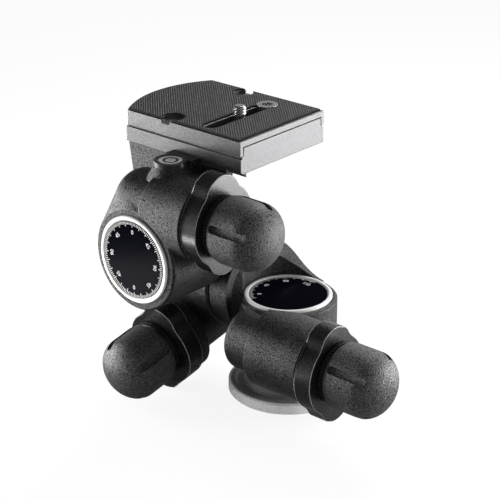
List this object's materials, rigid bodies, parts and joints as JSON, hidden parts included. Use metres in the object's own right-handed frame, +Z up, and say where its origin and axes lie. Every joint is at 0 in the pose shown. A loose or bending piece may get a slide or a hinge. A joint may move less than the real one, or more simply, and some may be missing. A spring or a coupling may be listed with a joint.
{
  "type": "geared tripod head",
  "caption": "Tripod head with geared pan, front tilt and side tilt, winged release collars and a quick release camera plate.",
  "frame": {"origin": "centre of the base's lower face, at the mouth of the tripod thread, on the panning axis", "axes": "+Z up along the panning axis, +X along the pan and side knobs, +Y away from the front knob"},
  "size_m": [0.1658, 0.1032, 0.1494],
  "materials": {
    "cast_black": "fine crackle powder coat",
    "dial_face": "satin black print",
    "bright_ring": "polished",
    "bronze": "machined",
    "steel": "machined",
    "acetal": "moulded",
    "sleeve_alloy": "anodised",
    "collar_black": "semi-gloss paint",
    "knob_grey": "fine moulded texture",
    "base_alloy": "turned",
    "brass": "machined",
    "receiver_black": "powder coat",
    "lever_black": "powder coat",
    "plate_black": "satin anodised",
    "pad_rubber": "fine ribs",
    "level_glass": "clear"
  },
  "bodies": {
    "base": {"base": "base_alloy", "base_insert": "brass", "pan_wheel": "bronze", "pan_axle": "steel", "pan_nut": "steel", "pan_thrust_washer": "acetal"},
    "pan_stage": {"pan_casting": "cast_black", "pan_dial": "dial_face", "pan_dial_ring": "bright_ring", "pan_bush": "bronze", "pan_collar_spring": "steel", "front_wheel": "bronze", "front_axle": "steel", "front_nut": "steel", "front_thrust_washer": "acetal"},
    "pan_release_collar": {"pan_sleeve": "sleeve_alloy", "pan_collar": "collar_black", "pan_bearing": "steel"},
    "pan_knob_and_worm": {"pan_worm": "steel", "pan_knob": "knob_grey"},
    "front_stage": {"front_casting": "cast_black", "front_dial": "dial_face", "front_dial_ring": "bright_ring", "front_bush": "bronze", "front_collar_spring": "steel", "side_wheel": "bronze", "side_axle": "steel", "side_nut": "steel", "side_thrust_washer": "acetal"},
    "front_release_collar": {"front_sleeve": "sleeve_alloy", "front_collar": "collar_black", "front_bearing": "steel"},
    "front_knob_and_worm": {"front_worm": "steel", "front_knob": "knob_grey"},
    "side_stage": {"side_casting": "cast_black", "side_dial": "dial_face", "side_dial_ring": "bright_ring", "side_bush": "bronze", "side_collar_spring": "steel", "receiver": "receiver_black", "receiver_screws": "steel", "lever_pin": "steel", "level_cup": "lever_black", "level_vial": "level_glass"},
    "side_release_collar": {"side_sleeve": "sleeve_alloy", "side_collar": "collar_black", "side_bearing": "steel"},
    "side_knob_and_worm": {"side_worm": "steel", "side_knob": "knob_grey"},
    "lever": {"clamp_lever": "lever_black"},
    "jaw": {"locking_jaw": "brass"},
    "button": {"safety_button": "brass"},
    "plate": {"plate": "plate_black", "plate_pad": "pad_rubber", "stored_screw": "steel"},
    "screw_washer": {"camera_screw_washer": "acetal"},
    "screw": {"camera_screw": "steel"}
  },
  "joints": [
    {"name": "pan_turn", "type": "hinge", "parent": "base", "child": "pan_stage", "pos_m": [0, 0, 0.0344], "axis": [0, 0, 1], "continuous": true},
    {"name": "pan_release", "type": "hinge", "parent": "pan_stage", "child": "pan_release_collar", "pos_m": [0, -0.023, 0.0329], "axis": [1, 0, 0], "range_deg": [0, 45], "stiffness_Nm_per_rad": 0.12, "springref_deg": -28.65},
    {"name": "pan_knob_turn", "type": "hinge", "parent": "pan_release_collar", "child": "pan_knob_and_worm", "pos_m": [0, -0.023, 0.0344], "axis": [1, 0, 0], "continuous": true},
    {"name": "front_tilt", "type": "hinge", "parent": "pan_stage", "child": "front_stage", "pos_m": [-0.052, -0.0009, 0.0515], "axis": [-1, 0, 0], "range_deg": [-30, 90]},
    {"name": "front_release", "type": "hinge", "parent": "front_stage", "child": "front_release_collar", "pos_m": [-0.0505, 0.00373, 0.02897], "axis": [0, -0.9796, -0.2011], "range_deg": [0, 45], "stiffness_Nm_per_rad": 0.12, "springref_deg": -28.65},
    {"name": "front_knob_turn", "type": "hinge", "parent": "front_release_collar", "child": "front_knob_and_worm", "pos_m": [-0.052, 0.00373, 0.02897], "axis": [0, -0.9796, -0.2011], "range_deg": [-1440, 4320]},
    {"name": "side_tilt", "type": "hinge", "parent": "front_stage", "child": "side_stage", "pos_m": [-0.0418, -0.0476, 0.08], "axis": [0, -1, 0], "range_deg": [-20, 90]},
    {"name": "side_release", "type": "hinge", "parent": "side_stage", "child": "side_release_collar", "pos_m": [-0.0418, -0.0461, 0.103], "axis": [-1, 0, 0], "range_deg": [0, 45], "stiffness_Nm_per_rad": 0.12, "springref_deg": -28.65},
    {"name": "side_knob_turn", "type": "hinge", "parent": "side_release_collar", "child": "side_knob_and_worm", "pos_m": [-0.0418, -0.0476, 0.103], "axis": [1, 0, 0], "range_deg": [-4320, 960]},
    {"name": "lever_swing", "type": "hinge", "parent": "side_stage", "child": "lever", "pos_m": [-0.0797, 0.0094, 0.1277], "axis": [0, 0, -1], "range_deg": [0, 75]},
    {"name": "jaw_slide", "type": "slide", "parent": "side_stage", "child": "jaw", "axis": [1, 0, 0], "range_m": [0, 0.0025]},
    {"name": "button_push", "type": "slide", "parent": "side_stage", "child": "button", "axis": [0, -1, 0], "range_m": [0, 0.0019], "stiffness_N_per_m": 250, "springref_m": -0.001},
    {"name": "plate_lift", "type": "slide", "parent": "side_stage", "child": "plate", "axis": [0, 0, 1], "range_m": [0, 0.012]},
    {"name": "screw_slide", "type": "slide", "parent": "plate", "child": "screw_washer", "axis": [0, 1, 0], "range_m": [-0.019, 0.0118]},
    {"name": "screw_turn", "type": "hinge", "parent": "screw_washer", "child": "screw", "pos_m": [-0.0272, -0.0048, 0.1405], "axis": [0, 0, 1], "continuous": true}
  ],
  "couplings": [
    {"joint": "pan_knob_turn", "follows": "pan_turn", "ratio": 48},
    {"joint": "front_knob_turn", "follows": "front_tilt", "ratio": 48},
    {"joint": "side_knob_turn", "follows": "side_tilt", "ratio": -48},
    {"joint": "jaw_slide", "follows": "lever_swing", "m_per_rad": 0.0019099}
  ]
}
